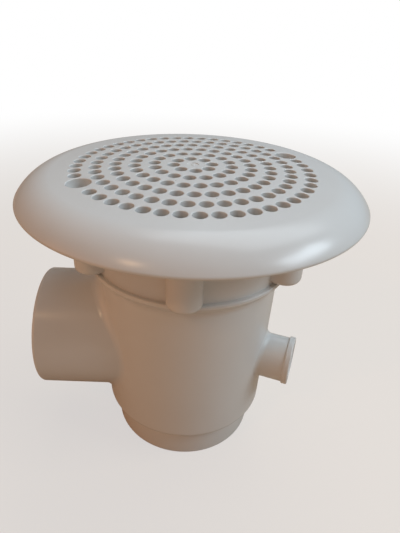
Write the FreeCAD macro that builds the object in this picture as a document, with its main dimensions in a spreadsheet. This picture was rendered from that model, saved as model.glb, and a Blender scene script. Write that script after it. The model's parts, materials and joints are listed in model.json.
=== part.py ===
import FreeCAD, Part
import math
import os
import re

import Sketcher
from FreeCAD import Placement, Rotation, Vector

# Pool main drain: a domed round grille screwed down over a clamping ring and a
# flanged neck, and the neck glued into a deep sump with a side outlet and a stub.
# The origin is the centre of the sump's flat foot. +Z points up to the grille,
# and the outlet points along -X.

# Driving dimensions, in millimetres and degrees
SIZES = {
    # grille cover
    "overall_height": 215.0,
    "dome_radius": 1235.0,
    "dome_reach": 91.1,
    "shoulder_radius": 28.4,
    "rim_radius": 1.5,
    "cover_radius": 113.1,
    "plate": 4.0,
    "lip_wall": 5.0,
    "hole_radius": 4.0,
    "ring_pitch": 12.6,
    "gate_radius": 3.8,
    "gate_depth": 0.5,
    "skirt_radius": 88.5,
    "skirt_wall": 2.5,
    "recess_radius": 7.5,
    "recess_floor": 206.0,
    "cover_boss_radius": 8.8,
    # screws, inserts and their bosses
    "screw_circle": 75.6,
    "screw_angle": 28.0,
    "screw_radius": 3.0,
    "clearance_radius": 3.3,
    "countersink": 3.0,
    "screw_tip": 0.6,
    "cover_screw_length": 29.0,
    "ring_screw_length": 24.0,
    "cross_length": 5.2,
    "cross_width": 1.1,
    "cross_depth": 1.8,
    "insert_radius": 4.6,
    "insert_length": 12.0,
    "insert_groove": 0.5,
    "boss_root": 66.0,
    "boss_centre": 72.0,
    "boss_radius": 10.9,
    "boss_bottom": 153.3,
    "boss_round": 4.0,
    "boss_bore_depth": 27.0,
    # clamped stack
    "flange_radius": 94.0,
    "flange_top": 192.0,
    "flange": 5.0,
    "gasket": 2.0,
    "gasket_bore": 66.0,
    "clamp_ring": 5.0,
    "clamp_ring_round": 1.5,
    "flange_round": 0.8,
    # neck
    "neck_radius": 68.0,
    "neck_bore": 63.5,
    "spigot_radius": 60.0,
    "spigot_bore": 56.0,
    "spigot_bottom": 126.0,
    # sump
    "shelf_height": 152.0,
    "shelf_radius": 71.0,
    "shelf_edge": 2.4,
    "shelf_round": 1.0,
    "shelf_blend": 8.0,
    "chamfer_bottom": 141.6,
    "sump_top_radius": 64.2,
    "sump_low_radius": 62.0,
    "step_height": 26.2,
    "step_round": 4.0,
    "foot_radius": 55.0,
    "foot_round": 2.0,
    "sump_bore_low": 57.4,
    "foot_bore": 50.6,
    "foot_bore_top": 33.0,
    "sump_bore_bottom": 37.0,
    "floor": 5.0,
    # outlet, with a socket for a 75 mm pipe
    "outlet_height": 81.0,
    "outlet_radius": 44.6,
    "outlet_reach": 109.4,
    "outlet_socket": 37.6,
    "outlet_socket_depth": 44.0,
    "outlet_bore": 34.5,
    "outlet_fillet": 8.0,
    "outlet_round": 2.5,
    "outlet_lead_in": 1.2,
    # stub, with a socket for a 25 mm pipe
    "stub_height": 75.8,
    "stub_angle": -20.0,
    "stub_radius": 16.7,
    "stub_reach": 84.7,
    "stub_lip_radius": 17.8,
    "stub_lip": 4.5,
    "stub_lip_round": 1.0,
    "stub_socket": 12.6,
    "stub_socket_depth": 16.0,
    "stub_bore": 10.8,
    "stub_fillet": 4.0,
    "stub_lead_in": 0.8,
    # base port and its screwed plug
    "port_hub_radius": 31.0,
    "port_hub_top": 24.0,
    "port_radius": 23.4,
    "plug_bottom": 3.0,
    "plug_head": 6.0,
    "plug_chamfer": 1.0,
    "oring_radius": 1.6,
    "oring_circle": 26.6,
    "oring_groove": 3.6,
    "plug_hex_radius": 12.7,
    "plug_hex_height": 10.0,
}

# Holes in each ring of the grille, and how far the ring is turned about +Z.
# The outer ring is two facing halves, with room left between them for the screws.
RING_TURNS = {8: 8.0, 16: 18.0, 24: 6.7, 32: 1.0, 40: -2.3}
OUTER_RING_COUNT = 48
OUTER_RING_TURN = 2.9
OUTER_HALF_COUNT = 22

BOSS_COUNT = 6
BOSS_STEP = 360.0 / BOSS_COUNT
# Bosses that the cover's own screws reach, counted from screw_angle
COVER_BOSSES = (0, 3)
RING_BOSSES = (1, 2, 4, 5)

doc = FreeCAD.newDocument("main_drain")
sheet = doc.addObject("Spreadsheet::Sheet", "Sizes")
for row, (alias, amount) in enumerate(SIZES.items(), start=1):
    sheet.set(f"A{row}", alias)
    sheet.set(f"B{row}", str(amount))
    sheet.setAlias(f"B{row}", alias)
doc.recompute()

parts = []


def bound(text):
    """The expression text, with each alias pointing into the sheet."""
    return re.sub(r"[a-z_]{3,}", lambda m: f"Sizes.{m[0]}" if m[0] in SIZES else m[0], text)


def number(text):
    """What an expression of aliases comes to, read from the sheet."""
    filled = re.sub(r"[a-z_]{3,}", lambda m: f"{float(sheet.get(m[0])):.6f}", text)
    return FreeCAD.Units.Quantity(filled).Value


def new_body(label):
    """An empty body that becomes one sub-part."""
    body = doc.addObject("PartDesign::Body", label)
    body.Label = label
    parts.append(body)
    return body


def datum(body, role):
    """One of the body's own planes or axes."""
    return next(item for item in body.Origin.OriginFeatures if item.Role == role)


def new_sketch(body, role="XZ_Plane", lift=None):
    """A sketch on one of the body's own planes, or lifted above it."""
    sketch = body.newObject("Sketcher::SketchObject", "Sketch")
    sketch.AttachmentSupport = [(datum(body, role), "")]
    sketch.MapMode = "FlatFace"
    if lift:
        sketch.setExpression(".AttachmentOffset.Base.z", bound(lift))
    return sketch


def pin_point(sketch, index, end, x, y):
    """Tie a point of the sketch to two expressions, measured from the origin."""
    for kind, text, axis in (("DistanceX", x, -2), ("DistanceY", y, -1)):
        if text == "0":
            sketch.addConstraint(Sketcher.Constraint("PointOnObject", index, end, axis))
        else:
            rule = sketch.addConstraint(Sketcher.Constraint(kind, -1, 1, index, end, number(text)))
            sketch.setExpression(f"Constraints[{rule}]", bound(text))


def outline(sketch, corners):
    """A closed outline of straight lines through corners, each a pair of expressions."""
    points = [Vector(number(x), number(y), 0) for x, y in corners]
    for start, end in zip(points, points[1:] + points[:1]):
        sketch.addGeometry(Part.LineSegment(start, end), False)
    for index, (x, y) in enumerate(corners):
        before = (index - 1) % len(corners)
        sketch.addConstraint(Sketcher.Constraint("Coincident", before, 2, index, 1))
        pin_point(sketch, index, 1, x, y)
    return sketch


def circle(sketch, radius, x="0", y="0"):
    """A circle whose centre and radius are expressions."""
    centre = Vector(number(x), number(y), 0)
    index = sketch.addGeometry(Part.Circle(centre, Vector(0, 0, 1), number(radius)), False)
    pin_point(sketch, index, 3, x, y)
    rule = sketch.addConstraint(Sketcher.Constraint("Radius", index, number(radius)))
    sketch.setExpression(f"Constraints[{rule}]", bound(radius))
    return sketch


def circle_at_angle(sketch, radius, reach, angle):
    """A circle at a polar position, with its radius and reach tied to the sheet."""
    turned = math.radians(angle)
    centre = Vector(number(reach) * math.cos(turned), number(reach) * math.sin(turned), 0)
    spoke = sketch.addGeometry(Part.LineSegment(Vector(), centre), True)
    index = sketch.addGeometry(Part.Circle(centre, Vector(0, 0, 1), number(radius)), False)
    rules = (
        Sketcher.Constraint("Coincident", spoke, 1, -1, 1),
        Sketcher.Constraint("Coincident", spoke, 2, index, 3),
        Sketcher.Constraint("Distance", spoke, number(reach)),
        Sketcher.Constraint("Angle", -1, 1, spoke, 1, turned),
        Sketcher.Constraint("Radius", index, number(radius)),
    )
    places = [sketch.addConstraint(rule) for rule in rules]
    sketch.setExpression(f"Constraints[{places[2]}]", bound(reach))
    sketch.setExpression(f"Constraints[{places[4]}]", bound(radius))
    return sketch


def checked(body, feature, cut=False):
    """Recompute, and stop if the feature failed or changed nothing."""
    doc.recompute()
    broken = {"Invalid", "Error"} & set(feature.State)
    if broken or feature.Shape.isNull() or not feature.Shape.isValid():
        raise RuntimeError(f"{body.Label}: {feature.Name} failed")
    base = getattr(feature, "BaseFeature", None)
    if base is not None:
        grown = feature.Shape.Volume - base.Shape.Volume
        if (-grown if cut else grown) < 1e-3:
            raise RuntimeError(f"{body.Label}: {feature.Name} changed nothing")
    return feature


def revolve(body, sketch, cut=False):
    """Turn a section about the sketch's vertical axis."""
    feature = body.newObject("PartDesign::Groove" if cut else "PartDesign::Revolution", "Turned")
    feature.Profile = sketch
    feature.ReferenceAxis = (sketch, ["V_Axis"])
    feature.Angle = 360.0
    return checked(body, feature, cut)


def pad(body, sketch, length, reverse=False):
    """Push a sketch out by a length."""
    feature = body.newObject("PartDesign::Pad", "Pad")
    feature.Profile = sketch
    feature.Reversed = reverse
    feature.setExpression("Length", bound(length))
    return checked(body, feature)


def pocket(body, sketch, length, reverse=False):
    """Cut a sketch in by a length."""
    feature = body.newObject("PartDesign::Pocket", "Pocket")
    feature.Profile = sketch
    feature.Reversed = reverse
    feature.setExpression("Length", bound(length))
    return checked(body, feature, cut=True)


def polar(body, original, count, cut=False):
    """Repeat a feature about Z."""
    pattern = body.newObject("PartDesign::PolarPattern", "Pattern")
    pattern.Originals = [original]
    pattern.Axis = (datum(body, "Z_Axis"), [""])
    pattern.Angle = 360.0
    pattern.Occurrences = count
    body.Tip = pattern
    return checked(body, pattern, cut)


def dress(body, kind, test, amount):
    """Fillet or chamfer the edges of the tip whose middle point passes the test."""
    base = body.Tip
    names = []
    for index, edge in enumerate(base.Shape.Edges, start=1):
        middle = edge.valueAt((edge.FirstParameter + edge.LastParameter) / 2)
        if test(edge, middle):
            names.append(f"Edge{index}")
    if not names:
        raise RuntimeError(f"{body.Label}: no edge for the {kind}")
    feature = body.newObject(f"PartDesign::{kind}", kind)
    feature.Base = (base, names)
    feature.setExpression("Radius" if kind == "Fillet" else "Size", bound(amount))
    doc.recompute()
    if {"Invalid", "Error"} & set(feature.State) or not feature.Shape.isValid():
        raise RuntimeError(f"{body.Label}: {kind} failed on {names}")
    return feature


def ring_edge(radius, height):
    """A test for an edge about Z, by its radius and height."""
    def test(edge, middle):
        off_radius = abs(math.hypot(middle.x, middle.y) - number(radius))
        return off_radius < 0.2 and abs(middle.z - number(height)) < 0.2
    return test


def boss_angle(index):
    """Where a boss stands round Z, in degrees."""
    return number("screw_angle") + index * BOSS_STEP


def boss_spot(index, level):
    """A point over a boss, on the screw circle."""
    turned = math.radians(boss_angle(index))
    reach = number("screw_circle")
    return Vector(reach * math.cos(turned), reach * math.sin(turned), number(level))


def countersunk(bosses, level):
    """A test for the rims, at one level, of the screw holes over some bosses."""
    spots = [boss_spot(index, level) for index in bosses]

    def test(edge, middle):
        if abs(middle.z - number(level)) > 0.01 or not hasattr(edge.Curve, "Center"):
            return False
        near = any((edge.Curve.Center - spot).Length < 0.1 for spot in spots)
        return near and edge.Curve.Radius < number("clearance_radius") + 0.1
    return test


def screw_holes(body, radius, level, depth, bosses, count, reverse=False):
    """Holes on the screw circle over some bosses, each hole repeated about Z."""
    for index in bosses:
        sketch = new_sketch(body, "XY_Plane", level)
        circle_at_angle(sketch, radius, "screw_circle", boss_angle(index))
        cut = pocket(body, sketch, depth, reverse)
        if count > 1:
            polar(body, cut, count, cut=True)


def cover_section(body):
    """Half section of the domed cover, with its rolled rim and plate thickness."""
    top, dome = number("overall_height"), number("dome_radius")
    shoulder, rim = number("shoulder_radius"), number("rim_radius")
    plate = number("plate")
    tilt = math.asin(number("dome_reach") / dome)
    dome_centre = Vector(0, top - dome, 0)
    shoulder_centre = dome_centre + Vector(math.sin(tilt), math.cos(tilt), 0) * (dome - shoulder)
    rim_x = number("cover_radius") - rim
    drop = math.asin((rim_x - shoulder_centre.x) / (shoulder - rim))
    rim_centre = shoulder_centre + Vector(math.sin(drop), math.cos(drop), 0) * (shoulder - rim)
    wall_x = number("cover_radius") - number("lip_wall")
    wall_turn = math.asin((wall_x - shoulder_centre.x) / (shoulder - plate))
    up = math.pi / 2

    def arc(centre, radius, low, high):
        turned = Part.Circle(centre, Vector(0, 0, 1), radius)
        return Part.ArcOfCircle(turned, low, high)

    lip = rim_centre.y - rim
    wall_top = shoulder_centre.y + (shoulder - plate) * math.cos(wall_turn)
    sketch = new_sketch(body)
    sketch.addGeometry([
        arc(dome_centre, dome, up - tilt, up),
        arc(shoulder_centre, shoulder, up - drop, up - tilt),
        arc(rim_centre, rim, -up, up - drop),
        Part.LineSegment(Vector(rim_x, lip, 0), Vector(wall_x, lip, 0)),
        Part.LineSegment(Vector(wall_x, lip, 0), Vector(wall_x, wall_top, 0)),
        arc(shoulder_centre, shoulder - plate, up - wall_turn, up - tilt),
        arc(dome_centre, dome - plate, up - tilt, up),
        Part.LineSegment(Vector(0, top - plate, 0), Vector(0, top, 0)),
    ], False)
    # Arcs run anticlockwise, so each one starts at its outer, lower end
    links = (
        ("Tangent", 0, 1, 1, 2), ("Tangent", 1, 1, 2, 2), ("Coincident", 2, 1, 3, 1),
        ("Coincident", 3, 2, 4, 1), ("Coincident", 4, 2, 5, 1), ("Tangent", 5, 2, 6, 1),
        ("Coincident", 6, 2, 7, 1), ("Coincident", 7, 2, 0, 2),
        ("Coincident", 5, 3, 1, 3), ("Coincident", 6, 3, 0, 3),
    )
    for kind, *ends in links:
        sketch.addConstraint(Sketcher.Constraint(kind, *ends))
    sizes = (
        (("Radius", 0), "dome_radius"), (("Radius", 1), "shoulder_radius"), (("Radius", 2), "rim_radius"),
        (("Radius", 5), "shoulder_radius - plate"),
        (("DistanceX", -1, 1, 4, 1), "cover_radius - lip_wall"),
        (("DistanceX", -1, 1, 2, 3), "cover_radius - rim_radius"),
        (("DistanceX", -1, 1, 1, 2), "dome_reach"),
        (("DistanceY", -1, 1, 0, 2), "overall_height"),
    )
    for rule, text in sizes:
        index = sketch.addConstraint(Sketcher.Constraint(*rule, number(text)))
        sketch.setExpression(f"Constraints[{index}]", bound(text))
    sketch.addConstraint(Sketcher.Constraint("PointOnObject", 0, 3, -2))
    sketch.addConstraint(Sketcher.Constraint("PointOnObject", 0, 2, -2))
    sketch.addConstraint(Sketcher.Constraint("Vertical", 4))
    return sketch


def cover_grille():
    """Domed disc with a rolled rim, six rings of holes and two screw recesses."""
    body = new_body("cover_grille")
    revolve(body, cover_section(body))
    ring_top = "flange_top + 2 * gasket + clamp_ring"
    under_dome = "overall_height - plate - 0.5 * plate"
    skirt = new_sketch(body, "XY_Plane", ring_top)
    circle(skirt, "skirt_radius")
    circle(skirt, "skirt_radius - skirt_wall")
    pad(body, skirt, f"{under_dome} - ( {ring_top} )")
    for index in COVER_BOSSES:
        boss = new_sketch(body, "XY_Plane", ring_top)
        circle_at_angle(boss, "cover_boss_radius", "screw_circle", boss_angle(index))
        pad(body, boss, f"{under_dome} - ( {ring_top} )")
    for index in COVER_BOSSES:
        recess = new_sketch(body, "XY_Plane", "recess_floor")
        circle_at_angle(recess, "recess_radius", "screw_circle", boss_angle(index))
        pocket(body, recess, "overall_height - recess_floor", reverse=True)
        shank = new_sketch(body, "XY_Plane", "recess_floor")
        circle_at_angle(shank, "clearance_radius", "screw_circle", boss_angle(index))
        pocket(body, shank, f"recess_floor - ( {ring_top} )")
    dress(body, "Chamfer", countersunk(COVER_BOSSES, "recess_floor"), "countersink")
    low = "overall_height - 4 * plate"
    for ring, (count, turn) in enumerate(RING_TURNS.items(), start=1):
        sketch = new_sketch(body, "XY_Plane", low)
        circle_at_angle(sketch, "hole_radius", f"{ring} * ring_pitch", turn)
        first = pocket(body, sketch, "4 * plate", reverse=True)
        polar(body, first, count, cut=True)
    step = 360.0 / OUTER_RING_COUNT
    skipped = math.ceil((boss_angle(0) - OUTER_RING_TURN) / step)
    half = new_sketch(body, "XY_Plane", low)
    for place in range(OUTER_HALF_COUNT):
        turn = OUTER_RING_TURN + (skipped + 1 + place) * step
        circle_at_angle(half, "hole_radius", "6 * ring_pitch", turn)
    cut = pocket(body, half, "4 * plate", reverse=True)
    polar(body, cut, 2, cut=True)
    gate = new_sketch(body, "XY_Plane", "overall_height - gate_depth")
    circle(gate, "gate_radius")
    pocket(body, gate, "2 * gate_depth", reverse=True)
    return body


def clamp_ring():
    """Flat ring that clamps the pool's liner, countersunk for its own four screws."""
    body = new_body("clamp_ring")
    section = outline(new_sketch(body), [
        ("neck_bore", "flange_top + 2 * gasket"),
        ("flange_radius", "flange_top + 2 * gasket"),
        ("flange_radius", "flange_top + 2 * gasket + clamp_ring"),
        ("neck_bore", "flange_top + 2 * gasket + clamp_ring"),
    ])
    revolve(body, section)
    top = "flange_top + 2 * gasket + clamp_ring"
    screw_holes(body, "clearance_radius", top, "clamp_ring", (0,), BOSS_COUNT)
    dress(body, "Chamfer", countersunk(RING_BOSSES, top), "countersink")
    dress(body, "Fillet", ring_edge("flange_radius", top), "clamp_ring_round")
    return body


def gasket_ring(label, level):
    """Flat rubber ring with a hole for every screw."""
    body = new_body(label)
    sketch = new_sketch(body, "XY_Plane", level)
    circle(sketch, "flange_radius")
    circle(sketch, "gasket_bore")
    pad(body, sketch, "gasket")
    screw_holes(body, "clearance_radius", level, "gasket", (0,), BOSS_COUNT, reverse=True)
    return body


def neck():
    """Flange, neck wall and spigot in one moulding, with six screw bosses."""
    body = new_body("neck_flange")
    section = outline(new_sketch(body), [
        ("neck_bore", "flange_top"),
        ("neck_bore", "shelf_height + neck_bore - spigot_bore"),
        ("spigot_bore", "shelf_height"),
        ("spigot_bore", "spigot_bottom"),
        ("spigot_radius", "spigot_bottom"),
        ("spigot_radius", "shelf_height"),
        ("neck_radius", "shelf_height"),
        ("neck_radius", "flange_top - flange"),
        ("flange_radius", "flange_top - flange"),
        ("flange_radius", "flange_top"),
    ])
    revolve(body, section)
    grown = pad(body, boss_section(body), "flange_top - flange - boss_bottom")
    polar(body, grown, BOSS_COUNT)

    def boss_underside(edge, middle):
        outside = math.hypot(middle.x, middle.y) > number("neck_radius") + 0.5
        return outside and abs(middle.z - number("boss_bottom")) < 0.01

    dress(body, "Fillet", boss_underside, "boss_round")
    dress(body, "Fillet", ring_edge("flange_radius", "flange_top - flange"), "flange_round")
    screw_holes(body, "insert_radius", "flange_top", "insert_length", (0,), BOSS_COUNT)
    screw_holes(body, "clearance_radius", "flange_top", "boss_bore_depth", (0,), BOSS_COUNT)
    return body


def boss_section(body):
    """Section of the first boss: a round nose, with straight sides that run into the neck."""
    sketch = new_sketch(body, "XY_Plane")
    sketch.AttachmentOffset = Placement(Vector(), Rotation(Vector(0, 0, 1), boss_angle(0)))
    sketch.setExpression(".AttachmentOffset.Base.z", bound("boss_bottom"))
    inner, outer, half = number("boss_root"), number("boss_centre"), number("boss_radius")
    nose = Part.Circle(Vector(outer, 0, 0), Vector(0, 0, 1), half)
    sketch.addGeometry([
        Part.LineSegment(Vector(inner, -half, 0), Vector(outer, -half, 0)),
        Part.ArcOfCircle(nose, -math.pi / 2, math.pi / 2),
        Part.LineSegment(Vector(outer, half, 0), Vector(inner, half, 0)),
        Part.LineSegment(Vector(inner, half, 0), Vector(inner, -half, 0)),
    ], False)
    links = (
        ("Tangent", 0, 2, 1, 1), ("Tangent", 1, 2, 2, 1), ("Coincident", 2, 2, 3, 1),
        ("Coincident", 3, 2, 0, 1), ("Horizontal", 0), ("Horizontal", 2), ("Vertical", 3),
    )
    for kind, *ends in links:
        sketch.addConstraint(Sketcher.Constraint(kind, *ends))
    pin_point(sketch, 1, 3, "boss_centre", "0")
    sizes = ((("Radius", 1), "boss_radius"), (("DistanceX", -1, 1, 3, 1), "boss_root"))
    for rule, text in sizes:
        index = sketch.addConstraint(Sketcher.Constraint(*rule, number(text)))
        sketch.setExpression(f"Constraints[{index}]", bound(text))
    return sketch


def sump():
    """Sump moulding: drafted body, flared mouth, foot, outlet and stub."""
    body = new_body("sump_body")
    outer = outline(new_sketch(body), [
        ("0", "0"),
        ("foot_radius", "0"),
        ("foot_radius", "step_height"),
        ("sump_low_radius", "step_height"),
        ("sump_top_radius", "chamfer_bottom"),
        ("shelf_radius", "shelf_height - shelf_edge"),
        ("shelf_radius", "shelf_height"),
        ("0", "shelf_height"),
    ])
    revolve(body, outer)
    dress(body, "Fillet", ring_edge("sump_top_radius", "chamfer_bottom"), "shelf_blend")
    dress(body, "Fillet", ring_edge("shelf_radius", "shelf_height - shelf_edge"), "shelf_round")
    dress(body, "Fillet", ring_edge("shelf_radius", "shelf_height"), "shelf_round")
    dress(body, "Fillet", ring_edge("sump_low_radius", "step_height"), "step_round")
    dress(body, "Fillet", ring_edge("foot_radius", "0"), "foot_round")
    outlet = new_sketch(body, "YZ_Plane")
    circle(outlet, "outlet_radius", "0", "outlet_height")
    pad(body, outlet, "outlet_reach", reverse=True)
    pad(body, stub_sketch(body, "stub_radius"), "stub_reach")
    pad(body, stub_sketch(body, "stub_lip_radius", "stub_reach - stub_lip"), "stub_lip")

    def outlet_root(edge, middle):
        reach = math.hypot(middle.y, middle.z - number("outlet_height"))
        return abs(reach - number("outlet_radius")) < 0.3 and -number("sump_top_radius") < middle.x < 0

    dress(body, "Fillet", outlet_root, "outlet_fillet")

    def stub_root(edge, middle):
        out, reach = from_stub_axis(middle)
        near_wall = 0 < out < number("stub_reach - stub_lip") - 5
        return near_wall and abs(reach - number("stub_radius")) < 0.3

    dress(body, "Fillet", stub_root, "stub_fillet")

    def stub_lip(edge, middle):
        out, reach = from_stub_axis(middle)
        at_lip = out > number("stub_reach - stub_lip") - 0.1
        return at_lip and abs(reach - number("stub_lip_radius")) < 0.1

    dress(body, "Fillet", stub_lip, "stub_lip_round")

    def outlet_mouth(edge, middle):
        return abs(middle.x + number("outlet_reach")) < 0.1

    dress(body, "Fillet", outlet_mouth, "outlet_round")
    inner = outline(new_sketch(body), [
        ("port_radius", "0"),
        ("port_radius", "port_hub_top"),
        ("port_hub_radius", "port_hub_top"),
        ("port_hub_radius", "floor"),
        ("foot_bore", "floor"),
        ("foot_bore", "foot_bore_top"),
        ("sump_bore_low", "sump_bore_bottom"),
        ("spigot_radius", "spigot_bottom"),
        ("spigot_radius", "shelf_height"),
        ("0", "shelf_height"),
        ("0", "0"),
    ])
    revolve(body, inner, cut=True)
    waterway = new_sketch(body, "YZ_Plane")
    circle(waterway, "outlet_bore", "0", "outlet_height")
    pocket(body, waterway, "outlet_reach")
    socket = new_sketch(body, "YZ_Plane", "outlet_socket_depth - outlet_reach")
    circle(socket, "outlet_socket", "0", "outlet_height")
    pocket(body, socket, "outlet_socket_depth")
    pocket(body, stub_sketch(body, "stub_bore"), "stub_reach", reverse=True)
    mouth = stub_sketch(body, "stub_socket", "stub_reach - stub_socket_depth")
    pocket(body, mouth, "stub_socket_depth", reverse=True)

    def outlet_rim(edge, middle):
        reach = math.hypot(middle.y, middle.z - number("outlet_height"))
        return outlet_mouth(edge, middle) and abs(reach - number("outlet_socket")) < 0.1

    dress(body, "Chamfer", outlet_rim, "outlet_lead_in")

    def stub_rim(edge, middle):
        out, reach = from_stub_axis(middle)
        return out > number("stub_reach") - 0.1 and abs(reach - number("stub_socket")) < 0.1

    dress(body, "Chamfer", stub_rim, "stub_lead_in")
    return body


def from_stub_axis(point):
    """How far a point lies along the stub, and how far off its axis."""
    turned = math.radians(number("stub_angle"))
    along = point.x * math.cos(turned) + point.y * math.sin(turned)
    aside = -point.x * math.sin(turned) + point.y * math.cos(turned)
    return along, math.hypot(aside, point.z - number("stub_height"))


def stub_sketch(body, radius, lift="0"):
    """A circle on the upright plane that the stub leaves square, turned about Z."""
    turned = Rotation(Vector(0, 1, 0), number("stub_angle"))
    sketch = new_sketch(body, "YZ_Plane")
    sketch.AttachmentOffset = Placement(turned.multVec(Vector(0, 0, number(lift))), turned)
    return circle(sketch, radius, "0", "stub_height")


def screw(label, length, spot):
    """Countersunk machine screw under a spot on its head, with a cross recess."""
    body = new_body(label)
    revolve(body, outline(new_sketch(body), [
        ("0", f"0 - {length}"),
        ("screw_radius - screw_tip", f"0 - {length}"),
        ("screw_radius", f"screw_tip - {length}"),
        ("screw_radius", "0 - countersink"),
        ("screw_radius + countersink", "0"),
        ("0", "0"),
    ]))
    arms = (("cross_length", "cross_width"), ("cross_width", "cross_length"))
    for wide, deep in arms:
        slot = outline(new_sketch(body, "XY_Plane"), [
            (f"0 - 0.5 * {wide}", f"0 - 0.5 * {deep}"),
            (f"0.5 * {wide}", f"0 - 0.5 * {deep}"),
            (f"0.5 * {wide}", f"0.5 * {deep}"),
            (f"0 - 0.5 * {wide}", f"0.5 * {deep}"),
        ])
        pocket(body, slot, "cross_depth")
    body.Placement = Placement(spot, Rotation())
    return body


def screws():
    """Two long screws for the cover, and four short ones for the clamping ring."""
    for place, index in enumerate(COVER_BOSSES, start=1):
        screw(f"cover_screw_{place}", "cover_screw_length", boss_spot(index, "recess_floor"))
    ring_top = "flange_top + 2 * gasket + clamp_ring"
    for place, index in enumerate(RING_BOSSES, start=1):
        screw(f"ring_screw_{place}", "ring_screw_length", boss_spot(index, ring_top))


def inserts():
    """Grooved brass inserts, one in each boss under the flange's top face."""
    for index in range(BOSS_COUNT):
        body = new_body(f"threaded_insert_{index + 1}")
        revolve(body, outline(new_sketch(body), [
            ("screw_radius", "0"),
            ("insert_radius", "0"),
            ("insert_radius", "0 - 0.4 * insert_length"),
            ("insert_radius - insert_groove", "0 - 0.4 * insert_length"),
            ("insert_radius - insert_groove", "0 - 0.6 * insert_length"),
            ("insert_radius", "0 - 0.6 * insert_length"),
            ("insert_radius", "0 - insert_length"),
            ("screw_radius", "0 - insert_length"),
        ]))
        body.Placement = Placement(boss_spot(index, "flange_top"), Rotation())


def base_plug():
    """Screwed plug in the base port, with a hexagon to turn it by."""
    body = new_body("base_plug")
    groove_out = "oring_circle + 0.5 * oring_groove"
    head_top = "port_hub_top + plug_head"
    revolve(body, outline(new_sketch(body), [
        ("0", "plug_bottom"),
        ("port_radius - plug_chamfer", "plug_bottom"),
        ("port_radius", "plug_bottom + plug_chamfer"),
        ("port_radius", "port_hub_top + 2 * oring_radius"),
        (groove_out, "port_hub_top + 2 * oring_radius"),
        (groove_out, "port_hub_top"),
        ("port_hub_radius", "port_hub_top"),
        ("port_hub_radius", f"{head_top} - plug_chamfer"),
        ("port_hub_radius - plug_chamfer", head_top),
        ("0", head_top),
    ]))
    pad(body, hexagon(new_sketch(body, "XY_Plane", head_top), "plug_hex_radius"), "plug_hex_height")
    return body


def hexagon(sketch, radius):
    """A regular hexagon about the origin, inside a construction circle."""
    reach = number(radius)
    turns = [math.radians(60 * side) for side in range(6)]
    corners = [Vector(reach * math.cos(turned), reach * math.sin(turned), 0) for turned in turns]
    for start, end in zip(corners, corners[1:] + corners[:1]):
        sketch.addGeometry(Part.LineSegment(start, end), False)
    ring = sketch.addGeometry(Part.Circle(Vector(), Vector(0, 0, 1), reach), True)
    pin_point(sketch, ring, 3, "0", "0")
    rule = sketch.addConstraint(Sketcher.Constraint("Radius", ring, reach))
    sketch.setExpression(f"Constraints[{rule}]", bound(radius))
    for side in range(6):
        sketch.addConstraint(Sketcher.Constraint("Coincident", side, 2, (side + 1) % 6, 1))
        sketch.addConstraint(Sketcher.Constraint("PointOnObject", side, 1, ring))
    for side in range(1, 6):
        sketch.addConstraint(Sketcher.Constraint("Equal", 0, side))
    sketch.addConstraint(Sketcher.Constraint("PointOnObject", 0, 1, -1))
    return sketch


def plug_oring():
    """O-ring between the plug's head and the port's hub."""
    ring = doc.addObject("Part::Torus", "plug_oring")
    ring.Label = "plug_oring"
    ring.setExpression("Radius1", bound("oring_circle"))
    ring.setExpression("Radius2", bound("oring_radius"))
    ring.Placement = Placement(Vector(0, 0, number("port_hub_top + oring_radius")), Rotation())
    ring.setExpression(".Placement.Base.z", bound("port_hub_top + oring_radius"))
    parts.append(ring)
    return ring


cover_grille()
clamp_ring()
gasket_ring("upper_gasket", "flange_top + gasket")
gasket_ring("lower_gasket", "flange_top")
neck()
sump()
screws()
inserts()
base_plug()
plug_oring()
doc.recompute()

for item in doc.Objects:
    if {"Invalid", "Error"} & set(item.State):
        raise RuntimeError(f"{item.Name} is {item.State}")
for part in parts:
    if part.Shape.isNull() or not part.Shape.isValid() or len(part.Shape.Solids) != 1:
        raise RuntimeError(f"{part.Label} isn't one valid solid")

os.makedirs("parts", exist_ok=True)
for part in parts:
    part.Shape.exportStep(f"parts/{part.Label}.step")
    print(f"{part.Label}: {part.Shape.Volume / 1000:.1f} cm3, {len(part.Shape.Faces)} faces")
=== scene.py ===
"""Looks of a deep pool main drain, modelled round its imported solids."""

import json
import logging
import math
from contextlib import contextmanager
from dataclasses import dataclass
from enum import Enum
from typing import Callable, Iterator, Sequence, Union

import bmesh
import bpy
from mathutils import Matrix, Vector


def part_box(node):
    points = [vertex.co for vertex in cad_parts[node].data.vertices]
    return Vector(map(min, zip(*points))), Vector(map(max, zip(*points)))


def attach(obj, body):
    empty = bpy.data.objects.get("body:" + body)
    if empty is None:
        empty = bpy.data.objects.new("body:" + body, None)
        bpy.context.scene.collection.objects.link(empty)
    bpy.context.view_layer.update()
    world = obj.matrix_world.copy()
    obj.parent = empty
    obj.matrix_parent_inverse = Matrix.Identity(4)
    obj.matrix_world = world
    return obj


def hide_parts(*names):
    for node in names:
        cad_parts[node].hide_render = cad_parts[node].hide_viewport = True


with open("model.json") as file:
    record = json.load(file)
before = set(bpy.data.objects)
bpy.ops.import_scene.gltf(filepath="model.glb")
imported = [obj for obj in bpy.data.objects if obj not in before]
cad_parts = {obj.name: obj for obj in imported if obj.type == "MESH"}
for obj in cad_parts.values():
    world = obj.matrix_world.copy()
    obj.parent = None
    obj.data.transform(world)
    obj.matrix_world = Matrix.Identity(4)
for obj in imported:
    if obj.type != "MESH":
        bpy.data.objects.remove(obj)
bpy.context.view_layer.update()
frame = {"nodes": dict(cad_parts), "record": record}

log = logging.getLogger("main_drain")

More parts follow.
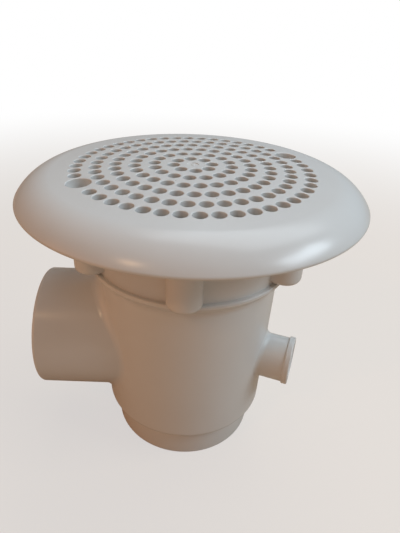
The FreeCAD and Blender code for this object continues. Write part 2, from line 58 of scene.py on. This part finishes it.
MM = 0.001
BODY = "root"
WELD = 2e-6                  # points nearer than this are one
ON_FACE = 5e-6               # rims nearer than this to the dome's face lie on it
QUARTER_TURN = 0.5 * math.pi
HALF_TURN = math.pi
FULL_TURN = 2.0 * math.pi
SMOOTH_ANGLE = math.radians(32.0)
BULGE = 0.3                  # a rounded corner's middle point, as a share of its radius
BY_AREA = 100                # how far a large face outweighs a small one in a corner's normal

NOISE_MIDDLE = 0.5
NOISE_ROUGHNESS = 0.55
MIX_SHARE, MIX_FIRST, MIX_SECOND, MIX_RESULT = 0, 6, 7, 2    # a Mix node's sockets for colours
WHITE = (1.0, 1.0, 1.0)

Colour = tuple[float, float, float]
Paint = Union[Colour, bpy.types.NodeSocket]
Spot = tuple[float, float]
Piece = bpy.types.Object


class Pick(Enum):
    """What edit mode selects."""

    POINTS = "VERT"
    EDGES = "EDGE"
    FACES = "FACE"


class Slot(Enum):
    """The record's material slots."""

    ABS = "white_abs"
    RUBBER = "black_rubber"
    STEEL = "stainless_steel"
    BRASS = "brass"


class Signal:
    """A shader value under way, which arithmetic extends with Math nodes."""

    def __init__(self, tree: "ShaderTree", socket: bpy.types.NodeSocket) -> None:
        """Wrap an output socket of a tree."""
        self.tree = tree
        self.socket = socket

    def _maths(self, operation: str, first: "Value", second: "Value") -> "Signal":
        """Add one Math node.

        Args:
            operation: The Math node's operation.
            first: Its first input.
            second: Its second input.

        Returns:
            The node's result.
        """
        node = self.tree.node("ShaderNodeMath", {"operation": operation}, {0: first, 1: second})
        return Signal(self.tree, node.outputs[0])

    def __add__(self, other: "Value") -> "Signal":
        """This value plus another."""
        return self._maths("ADD", self, other)

    def __sub__(self, other: "Value") -> "Signal":
        """This value minus another."""
        return self._maths("SUBTRACT", self, other)

    def __rsub__(self, other: "Value") -> "Signal":
        """Another value minus this one."""
        return self._maths("SUBTRACT", other, self)

    def __mul__(self, other: "Value") -> "Signal":
        """This value times another."""
        return self._maths("MULTIPLY", self, other)

    def __lt__(self, other: "Value") -> "Signal":
        """One where this value is the smaller, and nought elsewhere."""
        return self._maths("LESS_THAN", self, other)

    def __gt__(self, other: "Value") -> "Signal":
        """One where this value is the larger, and nought elsewhere."""
        return self._maths("GREATER_THAN", self, other)

    __radd__ = __add__
    __rmul__ = __mul__


Value = Union[Signal, float]


class ShaderTree:
    """The node tree of one material or of the world."""

    def __init__(self, owner: Union[bpy.types.Material, bpy.types.World]) -> None:
        """Take over the owner's tree, emptied."""
        owner.use_nodes = True
        self.tree = owner.node_tree
        self.tree.nodes.clear()

    def node(self, kind: str, settings: dict, inputs: dict) -> bpy.types.Node:
        """Add one node.

        Args:
            kind: The node's type.
            settings: Properties that are set first, with a ramp's stops under "stops".
            inputs: What each input socket holds: a number, a colour, a Signal or a socket.

        Returns:
            The new node.
        """
        node = self.tree.nodes.new(kind)
        for name, value in settings.items():
            if name == "stops":
                ramp = node.color_ramp.elements
                for index, (place, colour) in enumerate(value):
                    stop = ramp[index] if index < len(ramp) else ramp.new(place)
                    stop.position, stop.color = place, (*colour, 1.0)
            else:
                setattr(node, name, value)
        for name, value in inputs.items():
            socket = value.socket if isinstance(value, Signal) else value
            if isinstance(socket, bpy.types.NodeSocket):
                self.tree.links.new(socket, node.inputs[name])
            else:
                node.inputs[name].default_value = socket
        return node

    def signal(self, kind: str, settings: dict, inputs: dict, output: str) -> Signal:
        """Add one node and wrap one of its outputs.

        Args:
            kind: The node's type.
            settings: Properties that are set first.
            inputs: What each input socket holds.
            output: The output's name.

        Returns:
            That output as a Signal.
        """
        return Signal(self, self.node(kind, settings, inputs).outputs[output])

    def place(self) -> bpy.types.NodeSocket:
        """The point that is shaded, in the object's own metres."""
        return self.node("ShaderNodeTexCoord", {}, {}).outputs["Object"]

    def noise(self, where: bpy.types.NodeSocket, size: float, detail: float) -> Signal:
        """Soft noise.

        Args:
            where: The point that it is read at.
            size: The size of its patches, in metres.
            detail: How many finer layers it has.

        Returns:
            The noise, from 0 to 1.
        """
        inputs = {
            "Vector": where, "Scale": 1.0 / size, "Detail": detail, "Roughness": NOISE_ROUGHNESS}
        return self.signal("ShaderNodeTexNoise", {"noise_dimensions": "3D"}, inputs, "Fac")

    def mixed(self, share: Value, first: Paint, second: Paint) -> bpy.types.NodeSocket:
        """Mix two colours.

        Args:
            share: The second colour's share.
            first: The first colour, as a value or a link.
            second: The second colour, as a value or a link.

        Returns:
            The mixed colour.
        """
        inputs = {MIX_SHARE: share}
        for place, paint in ((MIX_FIRST, first), (MIX_SECOND, second)):
            inputs[place] = (*paint, 1.0) if isinstance(paint, tuple) else paint
        return self.node("ShaderNodeMix", {"data_type": "RGBA"}, inputs).outputs[MIX_RESULT]

    def bump(self, height: Signal, depth: float) -> bpy.types.NodeSocket:
        """A normal bent by a height from 0 to 1 that stands for a depth in metres."""
        inputs = {"Height": height, "Distance": depth, "Strength": 1.0}
        return self.node("ShaderNodeBump", {}, inputs).outputs["Normal"]

    def finish(self, shader: bpy.types.Node) -> None:
        """Join a shader to the material's output."""
        self.node("ShaderNodeOutputMaterial", {}, {"Surface": shader.outputs[0]})


@dataclass(frozen=True)
class GlossyPlastic:
    """White moulded ABS with a faint grain, cloudy tone and a few dark specks."""

    name: str = "white_abs_gloss"
    colour: Colour = (0.70, 0.69, 0.665)
    cloudy: Colour = (0.665, 0.65, 0.62)
    speck: Colour = (0.22, 0.20, 0.18)
    roughness: float = 0.25
    roughness_play: float = 0.08
    ior: float = 1.53
    grain_size: float = 1.1 * MM
    grain_depth: float = 0.012 * MM
    grain_detail: float = 2.0
    ripple_size: float = 16.0 * MM
    ripple_depth: float = 0.10 * MM
    ripple_detail: float = 1.0
    cloud_size: float = 34.0 * MM
    cloud_detail: float = 3.0
    speck_spacing: float = 21.0 * MM
    speck_share: float = 0.014
    rarity: float = 0.45

    def material(self) -> bpy.types.Material:
        """Build the material.

        Returns:
            The finished material.
        """
        made = bpy.data.materials.new(self.name)
        tree = ShaderTree(made)
        where = tree.place()
        clouds = tree.noise(where, self.cloud_size, self.cloud_detail)
        cells = {"Vector": where, "Scale": 1.0 / self.speck_spacing, "Randomness": 1.0}
        cell = tree.node("ShaderNodeTexVoronoi", {"feature": "F1"}, cells)
        lot = tree.node("ShaderNodeSeparateColor", {}, {"Color": cell.outputs["Color"]})
        inside = Signal(tree, cell.outputs["Distance"]) < self.speck_share
        chosen = Signal(tree, lot.outputs["Red"]) > self.rarity
        plain = tree.mixed(clouds, self.colour, self.cloudy)
        grain = tree.noise(where, self.grain_size, self.grain_detail)
        ripple = tree.noise(where, self.ripple_size, self.ripple_detail)
        relief = grain * (self.grain_depth / self.ripple_depth) + ripple
        shader = tree.node("ShaderNodeBsdfPrincipled", {}, {
            "Base Color": tree.mixed(inside * chosen, plain, self.speck),
            "Roughness": self.roughness + self.roughness_play * (clouds - NOISE_MIDDLE),
            "IOR": self.ior,
            "Normal": tree.bump(relief, self.ripple_depth),
        })
        tree.finish(shader)
        return made


@dataclass(frozen=True)
class Rubber:
    """Matt black rubber with a fine bloom."""

    name: str = "black_rubber_matt"
    colour: Colour = (0.022, 0.022, 0.023)
    bloom: Colour = (0.055, 0.054, 0.052)
    roughness: float = 0.72
    roughness_play: float = 0.12
    grain_size: float = 0.7 * MM
    grain_depth: float = 0.03 * MM
    grain_detail: float = 2.0
    bloom_size: float = 9.0 * MM
    bloom_detail: float = 4.0

    def material(self) -> bpy.types.Material:
        """Build the material.

        Returns:
            The finished material.
        """
        made = bpy.data.materials.new(self.name)
        tree = ShaderTree(made)
        where = tree.place()
        bloom = tree.noise(where, self.bloom_size, self.bloom_detail)
        grain = tree.noise(where, self.grain_size, self.grain_detail)
        shader = tree.node("ShaderNodeBsdfPrincipled", {}, {
            "Base Color": tree.mixed(bloom, self.colour, self.bloom),
            "Roughness": self.roughness + self.roughness_play * (bloom - NOISE_MIDDLE),
            "Normal": tree.bump(grain, self.grain_depth),
        })
        tree.finish(shader)
        return made


@dataclass(frozen=True)
class TurnedMetal:
    """Bright metal with the fine rings of a lathe and small stains."""

    name: str
    colour: Colour
    stain: Colour
    roughness: float
    roughness_play: float = 0.16
    ring_size: float = 0.25 * MM
    ring_depth: float = 0.006 * MM
    ring_waver: float = 0.4
    stain_size: float = 3.0 * MM
    stain_detail: float = 3.0

    def material(self) -> bpy.types.Material:
        """Build the material.

        Returns:
            The finished material.
        """
        made = bpy.data.materials.new(self.name)
        tree = ShaderTree(made)
        where = tree.place()
        stains = tree.noise(where, self.stain_size, self.stain_detail)
        settings = {"wave_type": "BANDS", "bands_direction": "Z"}
        inputs = {"Vector": where, "Scale": 1.0 / self.ring_size, "Distortion": self.ring_waver}
        rings = tree.signal("ShaderNodeTexWave", settings, inputs, "Fac")
        shader = tree.node("ShaderNodeBsdfPrincipled", {}, {
            "Base Color": tree.mixed(stains, self.colour, self.stain),
            "Metallic": 1.0,
            "Roughness": self.roughness + self.roughness_play * (stains - NOISE_MIDDLE),
            "Normal": tree.bump(rings, self.ring_depth),
        })
        tree.finish(shader)
        return made


STEEL = TurnedMetal(
    "stainless_turned", colour=(0.62, 0.62, 0.63), stain=(0.50, 0.50, 0.50), roughness=0.28)
BRASS = TurnedMetal(
    "brass_turned", colour=(0.72, 0.55, 0.25), stain=(0.56, 0.42, 0.19), roughness=0.34)


class Bench:
    """The steps of modelling that the mouldings share."""

    @staticmethod
    @contextmanager
    def editing(piece: Piece, pick: Pick) -> Iterator[bmesh.types.BMesh]:
        """Edit mode on one piece, with nothing selected at first.

        Args:
            piece: The piece to edit.
            pick: What is selected.

        Yields:
            The mesh under edit, read afresh.
        """
        bpy.ops.object.select_all(action="DESELECT")
        bpy.context.view_layer.objects.active = piece
        piece.select_set(True)
        bpy.ops.object.mode_set(mode="EDIT")
        bpy.ops.mesh.select_mode(type=pick.value)
        bpy.ops.mesh.select_all(action="DESELECT")
        yield bmesh.from_edit_mesh(piece.data)
        bpy.ops.object.mode_set(mode="OBJECT")

    @staticmethod
    def wire(name: str, points: Sequence[Vector]) -> Piece:
        """An open line of edges through points, bent from a primitive circle.

        Args:
            name: The new piece's name.
            points: The line's points, in order.

        Returns:
            The new piece.
        """
        bpy.ops.object.select_all(action="DESELECT")
        bpy.ops.mesh.primitive_circle_add(vertices=len(points), fill_type="NOTHING")
        piece = bpy.context.object
        piece.name = name
        for vertex, point in zip(piece.data.vertices, points):
            vertex.co = point
        ends = {0, len(points) - 1}
        with Bench.editing(piece, Pick.EDGES) as mesh:
            for edge in mesh.edges:
                edge.select_set({vertex.index for vertex in edge.verts} == ends)
            bpy.ops.mesh.delete(type="EDGE")
        return piece

    @staticmethod
    def lathe(name: str, section: Sequence[Spot], steps: int) -> Piece:
        """Spin an open half section about Z.

        Args:
            name: The new piece's name.
            section: Its points, each a reach from the axis and a height.
            steps: How many facets go round.

        Returns:
            The new piece.
        """
        points = [Vector((reach, 0.0, height)) for reach, height in section]
        piece = Bench.wire(name, points)
        with Bench.editing(piece, Pick.POINTS):
            bpy.ops.mesh.select_all(action="SELECT")
            bpy.ops.mesh.spin(steps=steps, angle=FULL_TURN, center=(0, 0, 0), axis=(0, 0, 1))
            bpy.ops.mesh.select_all(action="SELECT")
            bpy.ops.mesh.remove_doubles(threshold=WELD)
        return piece

    @staticmethod
    def arc(centre: Spot, radius: float, start: float, end: float, count: int) -> list[Spot]:
        """Points along an arc of a section.

        Args:
            centre: The arc's centre, as reach and height.
            radius: Its radius.
            start: The angle that it starts at, from straight up towards the outside.
            end: The angle that it ends at.
            count: How many equal steps it has.

        Returns:
            The arc's points, both ends included.
        """
        reach, height = centre
        angles = [start + (end - start) * step / count for step in range(count + 1)]
        return [(reach + radius * math.sin(a), height + radius * math.cos(a)) for a in angles]

    @staticmethod
    def copies(model: Piece, spots: Sequence[Vector]) -> list[Piece]:
        """Copy a piece to each spot, and take the model away.

        Args:
            model: The piece that is repeated.
            spots: Where each copy goes.

        Returns:
            The copies, each with its own mesh.
        """
        made = []
        for spot in spots:
            twin = model.copy()
            twin.data = model.data.copy()
            twin.data.transform(Matrix.Translation(spot))
            bpy.context.collection.objects.link(twin)
            made.append(twin)
        bpy.data.objects.remove(model)
        return made

    @staticmethod
    def joined(pieces: Sequence[Piece]) -> Piece:
        """Join pieces into the first of them.

        Args:
            pieces: The pieces to join.

        Returns:
            The first piece, with all their meshes.
        """
        bpy.ops.object.select_all(action="DESELECT")
        for piece in pieces:
            piece.select_set(True)
        bpy.context.view_layer.objects.active = pieces[0]
        bpy.ops.object.join()
        return pieces[0]

    @staticmethod
    def fill_rims(piece: Piece, level: Callable[[Vector], bool]) -> None:
        """Fill the sheet between the open rims at one level.

        Args:
            piece: The piece with open rims.
            level: Says whether a point lies on that level.
        """
        with Bench.editing(piece, Pick.EDGES) as mesh:
            for edge in mesh.edges:
                rim = len(edge.link_faces) < 2
                edge.select_set(rim and all(level(vertex.co) for vertex in edge.verts))
            bpy.ops.mesh.fill(use_beauty=True)

    @staticmethod
    def finish(piece: Piece) -> Piece:
        """Weld a closed mesh, turn its faces outwards and smooth its shading.

        Args:
            piece: The piece to finish.

        Returns:
            The same piece.
        """
        with Bench.editing(piece, Pick.FACES):
            bpy.ops.mesh.select_all(action="SELECT")
            bpy.ops.mesh.remove_doubles(threshold=WELD)
            bpy.ops.mesh.normals_make_consistent(inside=False)
        bpy.ops.object.shade_smooth_by_angle(angle=SMOOTH_ANGLE)
        weighted = piece.modifiers.new("weighted", "WEIGHTED_NORMAL")
        weighted.keep_sharp = True
        weighted.weight = BY_AREA
        bpy.ops.object.modifier_apply(modifier=weighted.name)
        return piece


def dress(piece: Piece, material: bpy.types.Material) -> None:
    """Give a piece one material.

    Args:
        piece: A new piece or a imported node.
        material: Its finish.
    """
    piece.data.materials.clear()
    piece.data.materials.append(material)


@dataclass
class CoverGrille:
    """The domed cover: a rolled rim, rings of soft-edged holes, two recesses and a gate mark.

    Its sizes are the solid's, in the same places. What is added are the rounds on the edges. The
    rings of holes each have a count and the turn of their first hole, in degrees.
    """

    top: float = 215.0 * MM
    dome_radius: float = 1235.0 * MM
    dome_reach: float = 91.1 * MM
    shoulder_radius: float = 28.4 * MM
    rim_radius: float = 1.5 * MM
    cover_radius: float = 113.1 * MM
    plate: float = 4.0 * MM
    lip_wall: float = 5.0 * MM
    hole_radius: float = 4.0 * MM
    hole_round: float = 0.55 * MM
    hole_round_below: float = 0.25 * MM
    pitch: float = 12.6 * MM
    rings: tuple[tuple[int, float], ...] = (
        (8, 8.0), (16, 18.0), (24, 6.7), (32, 1.0), (40, -2.3), (48, 2.9))
    skirt_radius: float = 88.5 * MM
    skirt_wall: float = 2.5 * MM
    skirt_bottom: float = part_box("clamp_ring")[1].z
    edge_round: float = 0.4 * MM
    recess_radius: float = 7.5 * MM
    recess_floor: float = 206.0 * MM
    recess_round: float = 0.6 * MM
    boss_radius: float = 8.8 * MM
    screw_radius: float = 3.3 * MM
    countersink: float = 3.0 * MM
    screw_circle: float = 75.6 * MM
    screw_angle: float = 28.0
    gate_radius: float = 3.8 * MM
    gate_depth: float = 0.5 * MM
    gate_round: float = 0.25 * MM
    gate_corner: Spot = (0.3 * MM, 0.1 * MM)
    nib_foot: float = 1.3 * MM
    nib_edge: Spot = (1.0 * MM, 0.25)
    nib_middle: float = 0.2
    steps: int = 240
    hole_steps: int = 32
    recess_steps: int = 48
    shoulder_steps: int = 26
    rim_steps: int = 9
    lining_steps: int = 14
    soft_steps: int = 5
    corner_steps: int = 4
    gate_steps: int = 3
    below_steps: int = 2

    def over(self, reach: float) -> float:
        """Height of the dome's top face at a reach from the axis."""
        return self.top - self.dome_radius + math.sqrt(self.dome_radius ** 2 - reach ** 2)

    def under(self, reach: float) -> float:
        """Height of the dome's underside at a reach from the axis."""
        inner = self.dome_radius - self.plate
        return self.top - self.dome_radius + math.sqrt(inner ** 2 - reach ** 2)

    def rim_section(self) -> list[Spot]:
        """Half section from the dome's edge round the rim and in to the skirt.

        Returns:
            The section's points, in absolute heights.
        """
        tilt = math.asin(self.dome_reach / self.dome_radius)
        hub = self.dome_radius - self.shoulder_radius
        shoulder = (hub * math.sin(tilt), self.top - self.dome_radius + hub * math.cos(tilt))
        rim_x = self.cover_radius - self.rim_radius
        rim_hub = self.shoulder_radius - self.rim_radius
        drop = math.asin((rim_x - shoulder[0]) / rim_hub)
        rim = (rim_x, shoulder[1] + rim_hub * math.cos(drop))
        lip = rim[1] - self.rim_radius
        wall_x = self.cover_radius - self.lip_wall
        inner = self.shoulder_radius - self.plate
        turn = math.asin((wall_x - shoulder[0]) / inner)
        skirt_out = self.skirt_radius
        skirt_in = skirt_out - self.skirt_wall
        foot = self.skirt_bottom
        edge = self.edge_round
        bulge = BULGE * edge
        return [
            *Bench.arc(shoulder, self.shoulder_radius, tilt, drop, self.shoulder_steps),
            *Bench.arc(rim, self.rim_radius, drop, HALF_TURN, self.rim_steps)[1:],
            (wall_x + edge, lip), (wall_x + bulge, lip + bulge), (wall_x, lip + edge),
            *Bench.arc(shoulder, inner, turn, tilt, self.lining_steps),
            (skirt_out + edge, self.under(skirt_out + edge)),
            (skirt_out, self.under(skirt_out) - edge),
            (skirt_out, foot + edge), (skirt_out - edge, foot),
            (skirt_in + edge, foot), (skirt_in, foot + edge),
            (skirt_in, self.under(skirt_in)),
        ]

    def on_dome(self, piece: Piece) -> None:
        """Lift a flat piece, drawn with the dome's top at nought, onto the dome.

        Args:
            piece: The piece. Its points below the plate keep their depth below the top.
        """
        for vertex in piece.data.vertices:
            reach = math.hypot(vertex.co.x, vertex.co.y)
            depth = -vertex.co.z / self.plate
            if -vertex.co.z < self.plate + WELD:
                vertex.co.z = (1.0 - depth) * self.over(reach) + depth * self.under(reach)
            else:
                vertex.co.z += self.top

    def hole_section(self) -> list[Spot]:
        """Section of one hole's wall, with a soft edge above and below."""
        above = (self.hole_radius + self.hole_round, -self.hole_round)
        below = (self.hole_radius + self.hole_round_below, self.hole_round_below - self.plate)
        return [
            *Bench.arc(above, self.hole_round, 0.0, -QUARTER_TURN, self.soft_steps),
            *Bench.arc(below, self.hole_round_below, -QUARTER_TURN, -HALF_TURN, self.below_steps),
        ]

    def hole_spots(self) -> list[Vector]:
        """Where the grille's holes are, leaving out those that the recesses take.

        Returns:
            One point for each hole, on the level of the plate's top.
        """
        spots = []
        recesses = self.recess_spots()
        clear = self.recess_radius + self.hole_radius
        for ring, (count, turn) in enumerate(self.rings, start=1):
            for place in range(count):
                angle = math.radians(turn + 360.0 * place / count)
                spot = Vector((math.cos(angle), math.sin(angle), 0.0)) * ring * self.pitch
                if all((spot - recess).length > clear for recess in recesses):
                    spots.append(spot)
        return spots

    def recess_spots(self) -> list[Vector]:
        """Where the two screw recesses are."""
        angles = [math.radians(self.screw_angle + half) for half in (0.0, 180.0)]
        return [Vector((math.cos(a), math.sin(a), 0.0)) * self.screw_circle for a in angles]

    def recess_section(self) -> list[Spot]:
        """Section of a screw recess and its boss.

        Returns:
            The section's points, with heights below the dome's top.
        """
        soft = self.recess_round
        rim = (self.recess_radius + soft, -soft)
        floor = self.recess_floor - self.top
        corner = (self.recess_radius - soft, floor + soft)
        foot = self.skirt_bottom - self.top
        cone = self.screw_radius + self.countersink
        return [
            *Bench.arc(rim, soft, 0.0, -QUARTER_TURN, self.soft_steps),
            (self.recess_radius, -self.plate),
            *Bench.arc(corner, soft, QUARTER_TURN, HALF_TURN, self.corner_steps),
            (cone, floor), (self.screw_radius, floor - self.countersink),
            (self.screw_radius, foot), (self.boss_radius - soft, foot),
            (self.boss_radius, foot + soft), (self.boss_radius, -self.plate),
        ]

    def gate_section(self) -> list[Spot]:
        """Section of the shallow round mark that the mould's gate leaves, with a nib inside it.

        Returns:
            The section's points, with heights below the dome's top.
        """
        edge = self.gate_round
        inset, rise = self.gate_corner
        nib_radius, nib_share = self.nib_edge
        return [
            *Bench.arc((self.gate_radius + edge, -edge), edge, 0.0, -QUARTER_TURN, self.gate_steps),
            (self.gate_radius, rise - self.gate_depth),
            (self.gate_radius - inset, -self.gate_depth),
            (self.nib_foot, -self.gate_depth),
            (nib_radius, -nib_share * self.gate_depth),
            (0.0, -self.nib_middle * self.gate_depth),
        ]

    def build(self) -> Piece:
        """Model the cover.

        Returns:
            The finished cover.
        """
        rim = Bench.lathe("cover", self.rim_section(), self.steps)
        hole = Bench.lathe("hole", self.hole_section(), self.hole_steps)
        holes = Bench.copies(hole, self.hole_spots())
        recess = Bench.lathe("recess", self.recess_section(), self.recess_steps)
        recesses = Bench.copies(recess, self.recess_spots())
        gate = Bench.lathe("gate", self.gate_section(), self.hole_steps)
        flat = Bench.joined([*holes, *recesses, gate])
        self.on_dome(flat)
        cover = Bench.joined([rim, flat])
        for level in (self.over, self.under):
            Bench.fill_rims(cover, lambda co: abs(co.z - level(math.hypot(co.x, co.y))) < ON_FACE)
        log.info("cover holes: %d", len(holes))
        return Bench.finish(cover)

    def place(self, plastic: bpy.types.Material) -> None:
        """Let the finished cover ride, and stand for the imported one.

        Args:
            plastic: The cover's finish.
        """
        cover = self.build()
        dress(cover, plastic)
        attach(cover, BODY)
        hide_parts("cover_grille")
        log.info("%s stands for cover_grille", cover.name)


@dataclass(frozen=True)
class Lamp:
    """One soft rectangular light."""

    name: str
    place: tuple[float, float, float]
    size: Spot
    watts: float
    colour: Colour

    def hang(self, aim: Vector) -> None:
        """Hang the lamp at its place.

        Args:
            aim: What it points at.
        """
        data = bpy.data.lights.new(self.name, "AREA")
        data.shape = "RECTANGLE"
        data.size, data.size_y = self.size
        data.energy = self.watts
        data.color = self.colour
        lamp = bpy.data.objects.new(self.name, data)
        lamp.location = self.place
        lamp.rotation_euler = (aim - lamp.location).to_track_quat("-Z", "Y").to_euler()
        bpy.context.collection.objects.link(lamp)


@dataclass
class Stage:
    """The camera, the lights, the surroundings and the floor.

    The window and the sky are cool, and light the drain from the right and from behind. The
    room lamp and the fill are warm, and light it from the left.
    """

    eye: tuple[float, float, float] = (-2.73 * MM, -280.87 * MM, 303.12 * MM)
    look_down: float = 30.062
    roll: float = 2.040
    focal_pixels: float = 441.566
    image_height: float = 533.0
    axis_pixel: Spot = (185.17, 263.08)
    image_centre: Spot = (200.0, 266.5)
    sensor: float = 36.0
    nearest: float = 10.0 * MM
    floor_half: float = 30.0
    floor_colour: Colour = (0.54, 0.39, 0.27)
    shadow_share: float = 0.40
    fade_start: float = 0.35
    fade_end: float = 1.30
    cool_side: tuple[float, float, float] = (0.68, 0.20, 0.70)
    warm_glow: Colour = (0.56, 0.33, 0.18)
    dim_glow: Colour = (0.54, 0.42, 0.33)
    dim_share: float = 0.45
    cool_glow: Colour = (0.72, 0.86, 1.0)
    glow: float = 0.42
    heart: tuple[float, float, float] = (0.0, 0.0, 0.15)
    lamps: tuple[Lamp, ...] = (
        Lamp("window", (1.23, -0.24, 1.03), size=(0.80, 0.40), watts=9.5, colour=(0.76, 0.89, 1.0)),
        Lamp("sky", (0.5, 0.8, 1.9), size=(1.8, 1.4), watts=17.0, colour=(0.84, 0.93, 1.0)),
        Lamp("room_lamp", (-0.74, -0.90, 1.24), size=(0.14, 0.08), watts=1.8,
             colour=(1.0, 0.62, 0.34)),
        Lamp("warm_fill", (-1.9, -1.0, 0.45), size=(2.2, 1.4), watts=10.0,
             colour=(1.0, 0.43, 0.19)),
    )

    def camera(self) -> None:
        """Set the camera where the photograph was taken from."""
        data = bpy.data.cameras.new("camera")
        data.sensor_width = self.sensor
        data.lens = self.sensor * self.focal_pixels / self.image_height
        data.shift_x = (self.image_centre[0] - self.axis_pixel[0]) / self.image_height
        data.shift_y = (self.axis_pixel[1] - self.image_centre[1]) / self.image_height
        data.clip_start = self.nearest
        camera = bpy.data.objects.new("camera", data)
        tip = Matrix.Rotation(math.radians(90.0 - self.look_down), 4, "X")
        camera.matrix_world = (
            Matrix.Translation(self.eye) @ tip @ Matrix.Rotation(math.radians(self.roll), 4, "Z"))
        bpy.context.collection.objects.link(camera)
        bpy.context.scene.camera = camera

    def world(self) -> None:
        """Give the surroundings a glow from warm to cool, which the camera sees as white."""
        world = bpy.data.worlds.new("studio")
        bpy.context.scene.world = world
        tree = ShaderTree(world)
        seen = tree.signal("ShaderNodeLightPath", {}, {}, "Is Camera Ray")
        where = tree.node("ShaderNodeTexCoord", {}, {}).outputs["Generated"]
        dot = {"operation": "DOT_PRODUCT"}
        towards = tree.signal("ShaderNodeVectorMath", dot, {0: where, 1: self.cool_side}, "Value")
        stops = ((0.0, self.warm_glow), (self.dim_share, self.dim_glow), (1.0, self.cool_glow))
        ramp = tree.node("ShaderNodeValToRGB", {"stops": stops}, {"Fac": towards * 0.5 + 0.5})
        glow = tree.node("ShaderNodeBackground", {}, {
            "Color": ramp.outputs["Color"], "Strength": self.glow})
        white = tree.node("ShaderNodeBackground", {}, {"Color": (*WHITE, 1.0), "Strength": 1.0})
        mix = tree.node("ShaderNodeMixShader", {}, {
            0: seen, 1: glow.outputs[0], 2: white.outputs[0]})
        tree.node("ShaderNodeOutputWorld", {}, {"Surface": mix.outputs[0]})

    def floor(self) -> None:
        """Lay a plain pale floor that keeps the drain's shadow."""
        bpy.ops.object.select_all(action="DESELECT")
        bpy.ops.mesh.primitive_plane_add(size=2.0 * self.floor_half)
        floor = bpy.context.object
        floor.name = "floor"
        made = bpy.data.materials.new("pale_floor")
        tree = ShaderTree(made)
        seen = tree.signal("ShaderNodeLightPath", {}, {}, "Is Camera Ray")
        matt = tree.node("ShaderNodeBsdfDiffuse", {}, {"Color": (*self.floor_colour, 1.0)})
        white = tree.node("ShaderNodeEmission", {}, {"Color": (*WHITE, 1.0), "Strength": 1.0})
        length = {"operation": "LENGTH"}
        reach = tree.signal("ShaderNodeVectorMath", length, {0: tree.place()}, "Value")
        shade = tree.signal("ShaderNodeMapRange", {"interpolation_type": "SMOOTHSTEP"}, {
            "Value": reach, "From Min": self.fade_start, "From Max": self.fade_end,
            "To Min": self.shadow_share, "To Max": 0.0}, "Result")
        mix = tree.node("ShaderNodeMixShader", {}, {
            0: seen * (1.0 - shade), 1: matt.outputs[0], 2: white.outputs[0]})
        tree.finish(mix)
        floor.data.materials.append(made)

    def build(self) -> None:
        """Set up everything that isn't part of the drain."""
        self.camera()
        for lamp in self.lamps:
            lamp.hang(Vector(self.heart))
        self.world()
        self.floor()
        bpy.context.scene.view_settings.view_transform = "Standard"


def main() -> None:
    """Build the looks in order."""
    logging.basicConfig(level=logging.INFO, format="%(name)s: %(message)s")
    Stage().build()
    plastic = GlossyPlastic().material()
    finishes = {
        Slot.ABS.value: plastic,
        Slot.RUBBER.value: Rubber().material(),
        Slot.STEEL.value: STEEL.material(),
        Slot.BRASS.value: BRASS.material(),
    }
    for row in frame["record"]["subparts"]:
        dress(frame["nodes"][row["node"]], finishes[row["material_slot"]])
        log.info("%s dressed as %s", row["node"], row["material_slot"])
    CoverGrille().place(plastic)


if __name__ == "__main__":
    main()
